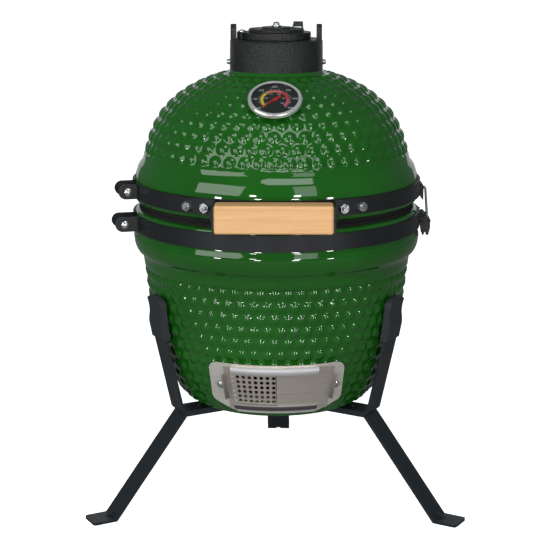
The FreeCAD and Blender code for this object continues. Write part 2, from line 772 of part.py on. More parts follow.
def stand_screws():
    """Button-headed screws from below, three in each arm."""
    solids = []
    for azimuth in LEGS.values():
        for reach in (42, 75, 108):
            seat = outward(azimuth) * reach + Vector(0, 0, size("tab_bottom") - 0.05)
            solids.append(round_screw(5.0, 2.6, 2.5, 6.8, seat, Vector(0, 0, -1)))
    new_feature("stand_screws", Part.makeCompound(solids))


# ---------------------------------------------------------------- handle

def handle_bracket(side, sign):
    """A curved foot on the band with a flange that carries the grip's end."""
    body = new_body(f"handle_bracket_{side}")
    near = "ceramic_radius + 0.4 + band_thick"
    low, high = "lid_band_low + 0.6", "lid_band_low + 18.4"
    arc_of(body, sign * 30.0, 17.2, [
        (near, low), (near + " + bracket_thick", low), (near + " + bracket_thick", high), (near, high)])
    inner = "grip_length / 2 + 0.1"
    offset = inner if sign > 0 else f"-({inner}) - bracket_thick"
    plate(body, "YZ_Plane", offset, "bracket_thick", [
        (-161.3, low), (-171, low), (-183, "grip_low + 1.6"), ("3 - grip_front", "grip_low + 1.6"),
        ("3 - grip_front", "grip_high - 1.4"), (-161.3, high)])
    hole = new_sketch(body, "YZ_Plane")
    add_circle(hole, "13 - grip_front", "grip_low + 15.6", 2.6)
    extrude(body, "Pocket", hole, 80.0, back=sign > 0)
    for turn in (25.7, 33.2):
        bore(body, sign * turn, "ceramic_radius - 1", "stud_level", "stud_radius + 0.1", 16.0)


def handle_grip():
    body = new_body("handle_grip")
    sketch = new_sketch(body, "YZ_Plane")
    add_box(sketch, "-grip_front", "-grip_back", "grip_low", "grip_high")
    block = extrude(body, "Pad", sketch, "grip_length", midplane=True)
    fillet(body, block, 3.0, lambda item: True)
    for offset, back in (("grip_length / 2 - 26", True), ("-grip_length / 2 + 26", False)):
        hole = new_sketch(body, "YZ_Plane", offset=offset)
        add_circle(hole, "13 - grip_front", "grip_low + 15.6", 2.52)
        extrude(body, "Pocket", hole, 30.0, back=back)


def handle_end_screws():
    solids = []
    reach = size("grip_length") / 2 + 0.15 + size("bracket_thick")
    for sign in (-1, 1):
        seat = Vector(sign * reach, 13 - size("grip_front"), size("grip_low") + 15.6)
        solids.append(round_screw(4.6, 2.2, 2.5, 24.0, seat, Vector(sign, 0, 0)))
    new_feature("handle_end_screws", Part.makeCompound(solids))


# ---------------------------------------------------------------- chimney cap

def chimney_collar():
    body = new_body("chimney_collar")
    sketch = new_sketch(body, "XZ_Plane")
    add_outline(sketch, [
        ("collar_bore", "collar_low + 1.2"), ("collar_bore + 2.2", "collar_low"),
        ("collar_radius + 0.4", "collar_low"), ("collar_radius", "collar_high - 2"),
        ("collar_radius - 2", "collar_high"),
        ("throat_radius - 2", "collar_high"), ("throat_radius - 2", "collar_high - collar_plate"),
        ("collar_bore", "collar_high - collar_plate")])
    spin(body, "Revolution", sketch)
    for offset in ("cap_ear_in", "-cap_ear_in - 6.5"):
        plate(body, "YZ_Plane", offset, 6.5, [
            (-9, "collar_high - 3"), (9, "collar_high - 3"), (9, "cap_ear_high - 8", 8.0),
            (1, "cap_ear_high"), (-1, "cap_ear_high", 8.0), (-9, "cap_ear_high - 8")])
    shaft = new_sketch(body, "XY_Plane", offset="collar_high - collar_plate + 1")
    add_circle(shaft, "-pivot_reach", 0, "bolt_radius + 0.05")
    extrude(body, "Pocket", shaft, 20.0, back=True)
    for azimuth in (-90, 90):
        bore(body, azimuth, "collar_bore - 2", 533, 2.55, 8.0)


def collar_screws():
    solids = []
    for sign in (-1, 1):
        seat = Vector(sign * (size("collar_radius") + 0.5), 0, 533)
        solids.append(round_screw(3.4, 3.6, 2.5, 4.2, seat, Vector(sign, 0, 0)))
    new_feature("collar_screws", Part.makeCompound(solids))


def vent_ports(body, turn):
    """Six round ports on a circle."""
    sketch = new_sketch(body, "XY_Plane", offset="disc_low - 2")
    for place in range(6):
        angle = math.radians(turn + 60 * place)
        add_circle(sketch, f"port_reach * {math.cos(angle):.6f}", f"port_reach * {math.sin(angle):.6f}",
                   "port_radius")
    extrude(body, "Pocket", sketch, 16.0, back=True)


def slide_disc():
    body = new_body("slide_disc")
    disc = new_sketch(body, "XY_Plane", offset="disc_low")
    add_circle(disc, 0, 0, "disc_radius")
    extrude(body, "Pad", disc, "disc_thick")
    lobe = new_sketch(body, "XY_Plane", offset="disc_low")
    add_circle(lobe, "-pivot_reach", 0, "lobe_radius")
    extrude(body, "Pad", lobe, "disc_thick")
    shafts = new_sketch(body, "XY_Plane", offset="disc_low - 1")
    add_circle(shafts, "-pivot_reach", 0, "bolt_radius + running")
    extrude(body, "Pocket", shafts, 12.0, back=True)
    centre = new_sketch(body, "XY_Plane", offset="disc_low - 1")
    add_circle(centre, 0, 0, "bolt_radius + 0.02")
    extrude(body, "Pocket", centre, 12.0, back=True)
    vent_ports(body, 30)


def daisy_wheel():
    body = new_body("daisy_wheel")
    low = "disc_low + disc_thick + wheel_gap"
    sketch = new_sketch(body, "XZ_Plane")
    add_outline(sketch, [
        ("bolt_radius + running", low), ("wheel_radius", low), ("wheel_radius", f"{low} + 2.8"),
        ("wheel_radius - 1", f"{low} + 3.8"), (17.8, f"{low} + 3.8"), (16.8, f"{low} + 5.7"),
        ("bolt_radius + running", f"{low} + 5.7")])
    spin(body, "Revolution", sketch)
    tab = new_sketch(body, "XZ_Plane")
    add_outline(tab, [
        (17.2, f"{low} + 3"), (31.9, f"{low} + 3"), (31.5, f"{low} + 11.9"), (20.2, f"{low} + 11.9"),
        (19.4, f"{low} + 7")])
    extrude(body, "Pad", tab, 5.0, midplane=True)
    vent_ports(body, 60)


def cap_bolts():
    """The disc's pivot bolt in the collar and the wheel's bolt in the disc."""
    radius = size("bolt_radius")
    top = size("disc_low") + size("disc_thick")
    up = Vector(0, 0, 1)
    pivot = Vector(-size("pivot_reach"), 0, top + 0.3)
    screw = hex_screw(5.6, 2.6, radius, 14.0, pivot, up)
    washer = Part.makeCylinder(5.2, 1.0, pivot)
    new_feature("slide_pivot_bolt", screw.fuse(washer).removeSplitter())
    centre = Vector(0, 0, top + size("wheel_gap") + 6.0)
    screw = hex_screw(6.4, 5.6, radius, 13.6, centre, up)
    washer = Part.makeCylinder(5.7, 1.4, centre)
    new_feature("daisy_bolt", screw.fuse(washer).removeSplitter())


# ---------------------------------------------------------------- thermometer

def gauge_frame(turn=0.0):
    """The gauge's own frame: its axis is normal to the lid, its upper side is at +Y."""
    lean = FreeCAD.Rotation(Vector(1, 0, 0), 90 - size("gauge_tilt"))
    spin_turn = FreeCAD.Rotation(Vector(0, 0, 1), turn)
    return FreeCAD.Placement(Vector(0, -size("gauge_reach"), size("gauge_level")), lean.multiply(spin_turn))


def thermometer():
    place = gauge_frame()
    edge = "gauge_radius"
    turned_body("thermometer_bezel", [
        (4.3, 0.3), (f"{edge} - 2", 0.3), (edge, 1.8), (edge, 5.2), (f"{edge} - 1", 6.2),
        (f"{edge} - 3.9", 6.2), (f"{edge} - 3.9", 5.5), (f"{edge} - 1.6", 5.5), (f"{edge} - 1.6", 1.2),
        (4.3, 1.2)], place)
    turned_body("thermometer_dial", [
        (0.95, 2.8), (f"{edge} - 1.7", 2.8), (f"{edge} - 1.7", 3.3), (0.95, 3.3)], place)
    turned_body("thermometer_lens", [
        (0, 4.5), (f"{edge} - 1.7", 4.5), (f"{edge} - 1.7", 5.4), (0, 5.4)], place)
    turned_body("thermometer_stem", [
        (0, "-stem_length"), ("stem_radius - 1", "-stem_length"), ("stem_radius", "1 - stem_length"),
        ("stem_radius", 1.3), (7, 1.3), (7, 2.0), (0, 2.0)], place)
    nut = hex_nut(13.0, 5.0, size("stem_radius") + 0.02, Vector(0, 0, -31.0), Vector(0, 0, 1))
    washer = Part.makeCylinder(9.0, 1.2, Vector(0, 0, -26.0))
    washer = washer.cut(Part.makeCylinder(size("stem_radius") + 0.02, 1.2, Vector(0, 0, -26.0)))
    new_feature("thermometer_nut", nut.fuse(washer).removeSplitter(), place)


def thermometer_needle():
    """A pointer with a broad tail, drawn towards +X and set at the scale's low end."""
    body = new_body("thermometer_needle")
    sketch = new_sketch(body, "XY_Plane", offset=3.6)
    add_outline(sketch, [
        (21, -0.25), (21, 0.25), (2.4, 1.0, 2.6), (-2.4, 1.0), (-8.5, 1.9), (-8.5, -1.9),
        (-2.4, -1.0, 2.6), (2.4, -1.0)])
    extrude(body, "Pad", sketch, 0.5)
    spindle = new_sketch(body, "XY_Plane", offset=2.4)
    add_circle(spindle, 0, 0, 0.9)
    extrude(body, "Pad", spindle, 1.3)
    body.Placement = gauge_frame(222.0)


# ---------------------------------------------------------------- rear hinge

def hinge_bracket(name, low, offsets, lug):
    """A curved foot on a band at the rear with two lugs to the pin."""
    body = new_body(name)
    near = "ceramic_radius + 0.4 + band_thick"
    high = f"{low} + band_height"
    arc_of(body, 180, 30.0, [
        (near, low), (near + " + bracket_thick", low), (near + " + bracket_thick", high), (near, high)])
    for offset in offsets:
        plate(body, "YZ_Plane", offset, 4.0, lug)
    eye = new_sketch(body, "YZ_Plane")
    add_circle(eye, "hinge_reach", "hinge_level", "hinge_pin_radius")
    extrude(body, "Pocket", eye, 90.0, midplane=True)
    for side in (-1, 1):
        azimuth = 180 + side * size("hinge_stud_turn")
        bore(body, azimuth, "ceramic_radius - 1", f"{low} + 9.5", "stud_radius + 0.1", 16.0)


def hinge():
    pin = "hinge_reach"
    level = "hinge_level"
    hinge_bracket("hinge_base_bracket", "base_band_low", (28.0, -32.0), [
        (171.4, "base_band_low + 1"), (179, "base_band_low + 1"), (f"{pin} + 6.1", f"{level} - 3.5", 7.0),
        (f"{pin} - 3.5", f"{level} + 6.1"), (171.4, "base_band_low + 17")])
    hinge_bracket("hinge_lid_bracket", "lid_band_low", (23.5, -27.5), [
        (172.0, "lid_band_low + 2"), (f"{pin} - 6.1", f"{level} - 3.5", 7.0),
        (f"{pin} + 3.5", f"{level} + 6.1"), (180, "lid_band_low + 18"), (172.0, "lid_band_low + 18")])
    radius = size("hinge_pin_radius") - size("running")
    spot = Vector(-35, size("hinge_reach"), size("hinge_level"))
    pin_solid = Part.makeCylinder(radius, 70.0, spot, Vector(1, 0, 0))
    heads = []
    for across in (-35.0, 32.4):
        head_spot = Vector(across, size("hinge_reach"), size("hinge_level"))
        heads.append(Part.makeCylinder(6.0, 2.6, head_spot, Vector(1, 0, 0)))
    new_feature("hinge_pin", pin_solid.fuse(heads).removeSplitter())


# ---------------------------------------------------------------- side latch

def latch_base():
    """The catch's foot on the base band, with two cheeks for the lever's pin."""
    body = new_body("latch_base")
    near = "ceramic_radius + 0.4 + band_thick"
    low, high = "base_band_low + 0.6", "base_band_low + 18.4"
    arc_of(body, 90, 8.6, [(near, low), (near + " + 1.6", low), (near + " + 1.6", high), (near, high)])
    for offset in (10.4, -11.9):
        plate(body, "XZ_Plane", offset, 1.5, [
            (173.8, "latch_pivot_level - 7"), (180.4, "latch_pivot_level - 7"),
            (181.8, "latch_pivot_level - 5.6"), (181.8, "latch_pivot_level - 1"),
            (180.2, "latch_pivot_level + 0.8"), (174.6, "latch_pivot_level + 1.6"),
            (173.8, "latch_pivot_level + 0.8")])
    window = new_sketch(body, "XZ_Plane")
    add_box(window, 172, 176, "latch_pivot_level - 4.2", "latch_pivot_level + 8")
    extrude(body, "Pocket", window, 19.6, midplane=True)
    hole = new_sketch(body, "XZ_Plane")
    add_circle(hole, "latch_pivot_reach", "latch_pivot_level", 2.0)
    extrude(body, "Pocket", hole, 40.0, midplane=True)


def latch_pivot_pin():
    spot = Vector(size("latch_pivot_reach"), -13.2, size("latch_pivot_level"))
    pin = Part.makeCylinder(1.95, 26.4, spot, Vector(0, 1, 0))
    heads = []
    for across in (-13.2, 12.2):
        head_spot = Vector(size("latch_pivot_reach"), across, size("latch_pivot_level"))
        heads.append(Part.makeCylinder(2.6, 1.0, head_spot, Vector(0, 1, 0)))
    new_feature("latch_pivot_pin", pin.fuse(heads).removeSplitter())


def latch_lever():
    """The thumb lever: two webs on the pivot pin joined by an outer plate."""
    body = new_body("latch_lever")
    web = [
        ("latch_pivot_reach - 3", "latch_pivot_level - 0.6", 3.1),
        ("latch_pivot_reach + 1.5", "latch_pivot_level - 2.9"), ("bail_pivot_reach - 5", "bail_pivot_level"),
        (175.8, 341.4), (174.4, 336.6), (176.4, 325.4), (178.2, 325.0), (180.0, 329.6), (181.6, 325.0),
        (184.2, 325.4), (186.4, 334.5), (186.2, 341, 3.4),
        ("bail_pivot_reach", "bail_pivot_level + 3.2"), ("latch_pivot_reach + 2.2", "latch_pivot_level + 2"),
        ("latch_pivot_reach - 2", "latch_pivot_level + 2.2")]
    for offset in (7.6, -9.4):
        plate(body, "XZ_Plane", offset, 1.8, web)
    skin = new_sketch(body, "XZ_Plane")
    add_outline(skin, [
        (184.2, 325.4), (186.4, 334.5), (186.2, 336.8), (184.8, 336.8), (184.8, 334.6), (182.7, 325.2)])
    extrude(body, "Pad", skin, 18.8, midplane=True)
    for reach, level, radius in (("latch_pivot_reach", "latch_pivot_level", 2.0),
                                 ("bail_pivot_reach", "bail_pivot_level", 1.6)):
        hole = new_sketch(body, "XZ_Plane")
        add_circle(hole, reach, level, radius)
        extrude(body, "Pocket", hole, 40.0, midplane=True)


def latch_bail_pin():
    spot = Vector(size("bail_pivot_reach"), -9.4, size("bail_pivot_level"))
    new_feature("latch_bail_pin", Part.makeCylinder(1.55, 18.8, spot, Vector(0, 1, 0)))


def latch_bail():
    """The strap that hooks over the keeper's lip, hung on the lever's pin."""
    body = new_body("latch_bail")
    sketch = new_sketch(body, "XZ_Plane")
    add_outline(sketch, [
        ("bail_pivot_reach - 1.7", "bail_pivot_level - 2.0"),
        ("bail_pivot_reach + 1.4", "bail_pivot_level - 2.6"),
        ("bail_pivot_reach + 1.5", "bail_pivot_level + 3"), (181.2, 381.6, 1.6), (179.8, 383),
        (177.9, 383), (177.9, 381.2), (179.2, 380.6), ("bail_pivot_reach - 1", "bail_pivot_level + 5.6"),
        ("bail_pivot_reach - 1.8", "bail_pivot_level + 2.4")])
    extrude(body, "Pad", sketch, 14.4, midplane=True)
    hole = new_sketch(body, "XZ_Plane")
    add_circle(hole, "bail_pivot_reach", "bail_pivot_level", 1.6)
    extrude(body, "Pocket", hole, 40.0, midplane=True)


def latch_keeper():
    """The catch plate on the lid band: a rounded lip above a hanging block."""
    body = new_body("latch_keeper")
    near = "ceramic_radius + 0.4 + band_thick"
    low, high = "lid_band_low + 1", "lid_band_low + 12"
    arc_of(body, 90, 7.2, [(near, low), (near + " + 1.6", low), (near + " + 1.6", high), (near, high)])
    sketch = new_sketch(body, "XZ_Plane")
    add_outline(sketch, [
        (173.8, 388.6), (173.8, 371.6), (177.4, 367.4), (177.4, 384.0, 4.6), (174.6, 388.6)])
    extrude(body, "Pad", sketch, 18.0, midplane=True)


# ---------------------------------------------------------------- build

def build():
    base_shell()
    lid_shell()
    gaskets()
    grip_studs = [-33.2, -25.7, 25.7, 33.2]
    lid_studs = [(azimuth, "stud_level") for azimuth in grip_studs]
    rear = [180 - size("hinge_stud_turn"), 180 + size("hinge_stud_turn")]
    rear_high = [(azimuth, "lid_band_low + 9.5") for azimuth in rear]
    rear_low = [(azimuth, "base_band_low + 9.5") for azimuth in rear]
    clamp_band("base", rear_low)
    clamp_band("lid", lid_studs + rear_high)
    clamp_hardware("base")
    clamp_hardware("lid")
    fire_box()
    charcoal_grate()
    fire_ring()
    cooking_grate()
    draft_frame()
    draft_screen()
    draft_door()
    draft_frame_screws()
    for side in LEGS:
        cradle_arm(side)
        leg(side)
        arm_pad(side)
    stand_plate()
    stand_screws()
    handle_bracket("left", -1)
    handle_bracket("right", 1)
    handle_grip()
    stud_group("handle_studs", grip_studs, size("stud_level"))
    handle_end_screws()
    chimney_collar()
    collar_screws()
    slide_disc()
    daisy_wheel()
    cap_bolts()
    thermometer()
    thermometer_needle()
    hinge()
    stud_group("hinge_base_studs", rear, size("base_band_low") + 9.5)
    stud_group("hinge_lid_studs", rear, size("lid_band_low") + 9.5)
    latch_base()
    latch_pivot_pin()
    latch_lever()
    latch_bail_pin()
    latch_bail()
    latch_keeper()


def check_and_write():
    """Stop on a failed object or a bad shape, then write each sub-part."""
    doc.recompute()
    bad = []
    for item in doc.Objects:
        if "Invalid" in item.State or "Error" in item.State:
            bad.append(f"{item.Name}: {item.State}")
    for part in SUB_PARTS:
        if part.Shape.isNull() or not part.Shape.isValid() or part.Shape.Volume <= 0:
            bad.append(f"{part.Label}: bad shape")
    if bad:
        raise RuntimeError("; ".join(bad))
    os.makedirs("parts", exist_ok=True)
    for part in SUB_PARTS:
        part.Shape.exportStep(f"parts/{part.Label}.step")
        box = part.Shape.BoundBox
        print(f"{part.Label:24s} solids {len(part.Shape.Solids)} volume {part.Shape.Volume:12.1f}"
              f" x {box.XMin:.1f} {box.XMax:.1f} y {box.YMin:.1f} {box.YMax:.1f}"
              f" z {box.ZMin:.1f} {box.ZMax:.1f}")


build()
check_and_write()
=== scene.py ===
import math
from collections import namedtuple

import bmesh
import bpy
from mathutils import Matrix, Vector


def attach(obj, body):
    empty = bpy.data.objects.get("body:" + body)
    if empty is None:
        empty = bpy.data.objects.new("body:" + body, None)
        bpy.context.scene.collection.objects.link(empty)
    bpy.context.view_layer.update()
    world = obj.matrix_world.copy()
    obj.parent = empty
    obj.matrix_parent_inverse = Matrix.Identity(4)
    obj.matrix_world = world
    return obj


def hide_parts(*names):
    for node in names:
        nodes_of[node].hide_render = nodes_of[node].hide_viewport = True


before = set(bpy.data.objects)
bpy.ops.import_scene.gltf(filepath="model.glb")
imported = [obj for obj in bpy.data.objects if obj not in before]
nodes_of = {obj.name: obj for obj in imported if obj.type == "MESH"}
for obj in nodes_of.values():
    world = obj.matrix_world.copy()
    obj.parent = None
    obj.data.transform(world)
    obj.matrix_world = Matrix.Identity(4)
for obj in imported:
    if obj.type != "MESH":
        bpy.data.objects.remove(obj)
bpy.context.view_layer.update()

# A small dimpled ceramic kamado grill on a low stand, +Z up, front at -Y. The camera, the lights and
# the shaders are in metres. The shells and the dial are drawn in millimetres, which MM turns to metres.
MM = 0.001
scene = bpy.context.scene


# ---------------------------------------------------------------- camera, floor and light

SENSOR_WIDTH = 36.0
FOCAL_LENGTH = 101.21891
CLIP_END = 50.0
PITCH = math.radians(12.89)
AZIMUTH = math.radians(0.8)
AXIS_SHIFT = math.radians(0.05)
DISTANCE = 1.8492
HEIGHT = 0.6959
LIGHT_AIM = Vector((0.0, 0.0, 0.33))
FLOOR_HALF = 30.0
ROOM_GLOW = 0.17
PAPER_GLOW = 1.05
# Soft boxes: name, azimuth and elevation in degrees, distance, width, height, and radiance.
LIGHTS = (
    ("key_left", -46, 22, 2.4, 1.6, 1.0, 3.8),
    ("key_right", 24, 22, 2.4, 0.7, 1.0, 2.6),
    ("spot_left", -17, 12, 2.4, 0.20, 0.20, 32.0),
    ("spot_right", 17, 12, 2.4, 0.20, 0.20, 32.0),
    ("low", -44, 0.5, 2.2, 0.20, 0.22, 38.0),
    ("low", -13, 0.5, 2.2, 0.20, 0.22, 38.0),
    ("low", 15, 0.5, 2.2, 0.20, 0.22, 38.0),
    ("low", 42, 0.5, 2.2, 0.20, 0.22, 38.0),
    ("top", 14, 58, 2.2, 1.2, 0.9, 4.2),
    ("behind", 180, 8, 2.6, 3.2, 1.2, 0.5),
)


def add_camera():
    """A long lens in front of the grill and above its vent cap, looking a little down."""
    data = bpy.data.cameras.new("camera")
    data.sensor_width = SENSOR_WIDTH
    data.lens = FOCAL_LENGTH
    data.clip_end = CLIP_END
    camera = bpy.data.objects.new("camera", data)
    scene.collection.objects.link(camera)
    camera.location = (DISTANCE * math.sin(AZIMUTH), -DISTANCE * math.cos(AZIMUTH), HEIGHT)
    camera.rotation_euler = (math.pi / 2 - PITCH, 0.0, AZIMUTH + AXIS_SHIFT)
    scene.camera = camera


def add_area(name, azimuth, elevation, distance, width, height, radiance):
    """A soft box at an azimuth from the front (positive to the right) and an elevation."""
    data = bpy.data.lights.new(name, "AREA")
    data.shape = "RECTANGLE"
    data.size = width
    data.size_y = height
    data.energy = radiance * math.pi * width * height
    light = bpy.data.objects.new(name, data)
    scene.collection.objects.link(light)
    a, e = math.radians(azimuth), math.radians(elevation)
    spot = Vector((math.sin(a) * math.cos(e), -math.cos(a) * math.cos(e), math.sin(e))) * distance
    light.location = spot + LIGHT_AIM
    light.rotation_euler = (LIGHT_AIM - light.location).to_track_quat("-Z", "Y").to_euler()


def add_world():
    """White where the camera looks past the object, darker where surfaces mirror the room."""
    world = bpy.data.worlds.new("studio")
    scene.world = world
    world.use_nodes = True
    tree = world.node_tree
    tree.nodes.clear()
    out = tree.nodes.new("ShaderNodeOutputWorld")
    room = tree.nodes.new("ShaderNodeBackground")
    room.inputs["Color"].default_value = (0.82, 0.94, 1.0, 1)
    room.inputs["Strength"].default_value = ROOM_GLOW
    paper = tree.nodes.new("ShaderNodeBackground")
    paper.inputs["Color"].default_value = (1, 1, 1, 1)
    paper.inputs["Strength"].default_value = PAPER_GLOW
    mix = tree.nodes.new("ShaderNodeMixShader")
    rays = tree.nodes.new("ShaderNodeLightPath")
    tree.links.new(rays.outputs["Is Camera Ray"], mix.inputs["Fac"])
    tree.links.new(room.outputs[0], mix.inputs[1])
    tree.links.new(paper.outputs[0], mix.inputs[2])
    tree.links.new(mix.outputs[0], out.inputs["Surface"])


def add_ground(name, level, colour, glow, seen):
    """A wide level sheet that only the camera sees, or that everything but the camera sees."""
    mesh = bpy.data.meshes.new(name)
    signs = ((-1, -1), (1, -1), (1, 1), (-1, 1))
    corners = [(FLOOR_HALF * x, FLOOR_HALF * y, level) for x, y in signs]
    mesh.from_pydata(corners, [], [(0, 1, 2, 3)])
    sheet = bpy.data.objects.new(name, mesh)
    scene.collection.objects.link(sheet)
    paint, bsdf = new_material(name, colour, 0.8, specular=0.1)
    bsdf.inputs["Emission Color"].default_value = (*colour, 1)
    bsdf.inputs["Emission Strength"].default_value = glow
    mesh.materials.append(paint)
    sheet.visible_camera = seen
    sheet.visible_glossy = not seen
    sheet.visible_diffuse = not seen
    sheet.visible_shadow = False


def add_floor():
    add_ground("pale_floor", 0.0, (0.96, 0.96, 0.96), 1.0, True)
    add_ground("floor_bounce", -0.002, (0.22, 0.22, 0.22), 0.35, False)


# ---------------------------------------------------------------- materials

def new_material(name, colour, roughness, metallic=0.0, specular=0.5):
    """A material and its Principled shader."""
    material = bpy.data.materials.new(name)
    material.use_nodes = True
    bsdf = next(node for node in material.node_tree.nodes if node.type == "BSDF_PRINCIPLED")
    bsdf.inputs["Base Color"].default_value = (*colour, 1)
    bsdf.inputs["Roughness"].default_value = roughness
    bsdf.inputs["Metallic"].default_value = metallic
    bsdf.inputs["Specular IOR Level"].default_value = specular
    return material, bsdf


def add_node(material, kind, **values):
    """A shader node, with values set on its sockets or else on its properties."""
    node = material.node_tree.nodes.new(kind)
    for key, value in values.items():
        if key in node.inputs:
            node.inputs[key].default_value = value
        else:
            setattr(node, key, value)
    return node


def link(material, start, end):
    material.node_tree.links.new(start, end)


def object_noise(material, scale, detail=3.0, stretch=(1, 1, 1), rough=0.5):
    """A noise texture in object coordinates, stretched along the axes."""
    coords = add_node(material, "ShaderNodeTexCoord")
    mapping = add_node(material, "ShaderNodeMapping")
    mapping.inputs["Scale"].default_value = stretch
    texture = add_node(material, "ShaderNodeTexNoise", Scale=scale, Detail=detail, Roughness=rough)
    link(material, coords.outputs["Object"], mapping.inputs["Vector"])
    link(material, mapping.outputs["Vector"], texture.inputs["Vector"])
    return texture


def ramp(material, source, stops, target):
    """A colour ramp from a value to a colour or number socket."""
    node = add_node(material, "ShaderNodeValToRGB")
    band = node.color_ramp
    while len(band.elements) < len(stops):
        band.elements.new(0.5)
    for element, (place, colour) in zip(band.elements, stops):
        element.position = place
        element.color = (*colour, 1) if isinstance(colour, tuple) else (colour, colour, colour, 1)
    link(material, source, node.inputs["Fac"])
    link(material, node.outputs["Color"], target)
    return node


def add_bump(material, bsdf, source, strength, distance):
    bump = add_node(material, "ShaderNodeBump", Strength=strength, Distance=distance)
    link(material, source, bump.inputs["Height"])
    link(material, bump.outputs["Normal"], bsdf.inputs["Normal"])


def glaze_material():
    """Glossy green glaze, and bare pale ceramic where the mesh says that it is unglazed."""
    material, bsdf = new_material("green_glaze", (0.008, 0.088, 0.005), 0.05, specular=0.5)
    bare = add_node(material, "ShaderNodeAttribute", attribute_name="unglazed")
    colour = add_node(material, "ShaderNodeMix", data_type="RGBA")
    tone = object_noise(material, 9.0, 4.0)
    ramp(material, tone.outputs["Fac"],
         [(0.32, (0.006, 0.072, 0.004)), (0.68, (0.009, 0.098, 0.006))], colour.inputs["A"])
    grit = object_noise(material, 70.0, 6.0, rough=0.7)
    ramp(material, grit.outputs["Fac"], [(0.3, (0.36, 0.33, 0.28)), (0.7, (0.52, 0.49, 0.43))],
         colour.inputs["B"])
    link(material, bare.outputs["Fac"], colour.inputs["Factor"])
    link(material, colour.outputs["Result"], bsdf.inputs["Base Color"])
    ramp(material, bare.outputs["Fac"], [(0.0, 0.05), (1.0, 0.9)], bsdf.inputs["Roughness"])
    wave = object_noise(material, 55.0, 2.0)
    add_bump(material, bsdf, wave.outputs["Fac"], 0.10, 0.0010)
    return material


def powder_material(name, colour, roughness=0.42):
    """Fine-grained powder coat."""
    material, bsdf = new_material(name, colour, roughness, specular=0.30)
    grain = object_noise(material, 900.0, 2.0)
    add_bump(material, bsdf, grain.outputs["Fac"], 0.22, 0.0003)
    patch = object_noise(material, 14.0, 4.0)
    low, high = roughness - 0.06, roughness + 0.10
    ramp(material, patch.outputs["Fac"], [(0.3, low), (0.7, high)], bsdf.inputs["Roughness"])
    return material


def brushed_material(name, colour, stretch, roughness, metallic):
    """Stainless sheet with fine streaks along one axis."""
    material, bsdf = new_material(name, colour, roughness, metallic=metallic)
    streak = object_noise(material, 60.0, 5.0, stretch=stretch, rough=0.7)
    low = tuple(part * 0.80 for part in colour)
    high = tuple(min(1.0, part * 1.12) for part in colour)
    ramp(material, streak.outputs["Fac"], [(0.3, low), (0.7, high)], bsdf.inputs["Base Color"])
    rough = object_noise(material, 34.0, 4.0, stretch=stretch)
    ramp(material, rough.outputs["Fac"], [(0.3, roughness - 0.08), (0.7, roughness + 0.12)],
         bsdf.inputs["Roughness"])
    add_bump(material, bsdf, streak.outputs["Fac"], 0.10, 0.0002)
    return material


# The conical land behind the draft frame: its radius at a level, its widening with the level, and the
# levels that the frame reaches from and to, in millimetres, across which the painted highlights and
# shade on the folded lips are ramped.
CONE_RADIUS, CONE_LEVEL, CONE_SLOPE = 132.0, 160.0, 0.36
PAINTED_LIGHT_LOW, PAINTED_LIGHT_HIGH = 135.0, 200.0


def paint_lip_light_and_shade(material, offset, stops):
    """Paints highlights and shade by level on what stands out from the conical land by more than an
    offset in metres.
    """
    bsdf = next(node for node in material.node_tree.nodes if node.type == "BSDF_PRINCIPLED")
    coords = add_node(material, "ShaderNodeTexCoord")
    parts = add_node(material, "ShaderNodeSeparateXYZ")
    link(material, coords.outputs["Object"], parts.inputs["Vector"])
    flat = add_node(material, "ShaderNodeVectorMath", operation="MULTIPLY")
    flat.inputs[1].default_value = (1, 1, 0)
    link(material, coords.outputs["Object"], flat.inputs[0])
    reach = add_node(material, "ShaderNodeVectorMath", operation="LENGTH")
    link(material, flat.outputs["Vector"], reach.inputs[0])
    cone = add_node(material, "ShaderNodeMath", operation="MULTIPLY_ADD")
    cone.inputs[1].default_value = CONE_SLOPE
    cone.inputs[2].default_value = (CONE_RADIUS - CONE_SLOPE * CONE_LEVEL) * MM + offset
    link(material, parts.outputs["Z"], cone.inputs[0])
    # Mask of the lips: where the painted highlights and painted shade go.
    painted_light_mask = add_node(material, "ShaderNodeMath", operation="GREATER_THAN")
    link(material, reach.outputs["Value"], painted_light_mask.inputs[0])
    link(material, cone.outputs["Value"], painted_light_mask.inputs[1])
    height = add_node(material, "ShaderNodeMapRange")
    height.inputs["From Min"].default_value = PAINTED_LIGHT_LOW * MM
    height.inputs["From Max"].default_value = PAINTED_LIGHT_HIGH * MM
    link(material, parts.outputs["Z"], height.inputs["Value"])
    # Mixes the painted highlights and shade over the sheet's own colour on the lips.
    blend = add_node(material, "ShaderNodeMix", data_type="RGBA")
    link(material, bsdf.inputs["Base Color"].links[0].from_socket, blend.inputs["A"])
    ramp(material, height.outputs["Result"], stops, blend.inputs["B"])
    link(material, painted_light_mask.outputs["Value"], blend.inputs["Factor"])
    link(material, blend.outputs["Result"], bsdf.inputs["Base Color"])
    return material


def frame_material():
    """The draft frame's sheet, with painted highlights and painted shade on its folded lips: brighter
    above and darker below.
    """
    material = brushed_material("brushed_frame_painted_light", (0.72, 0.69, 0.63), (0.6, 0.6, 30.0), 0.36, 0.55)
    # Stops by level: the light ones are painted highlights on the rails' lips, the dark ones painted
    # shade.
    return paint_lip_light_and_shade(material, 0.0037, [
        (0.05, (0.60, 0.60, 0.58)), (0.09, (0.06, 0.05, 0.06)), (0.15, (0.11, 0.10, 0.10)),
        (0.18, (0.75, 0.75, 0.75)), (0.80, (0.22, 0.22, 0.22)), (0.86, (0.38, 0.38, 0.39)),
        (0.91, (0.80, 0.81, 0.83)), (0.95, (0.55, 0.55, 0.56))])


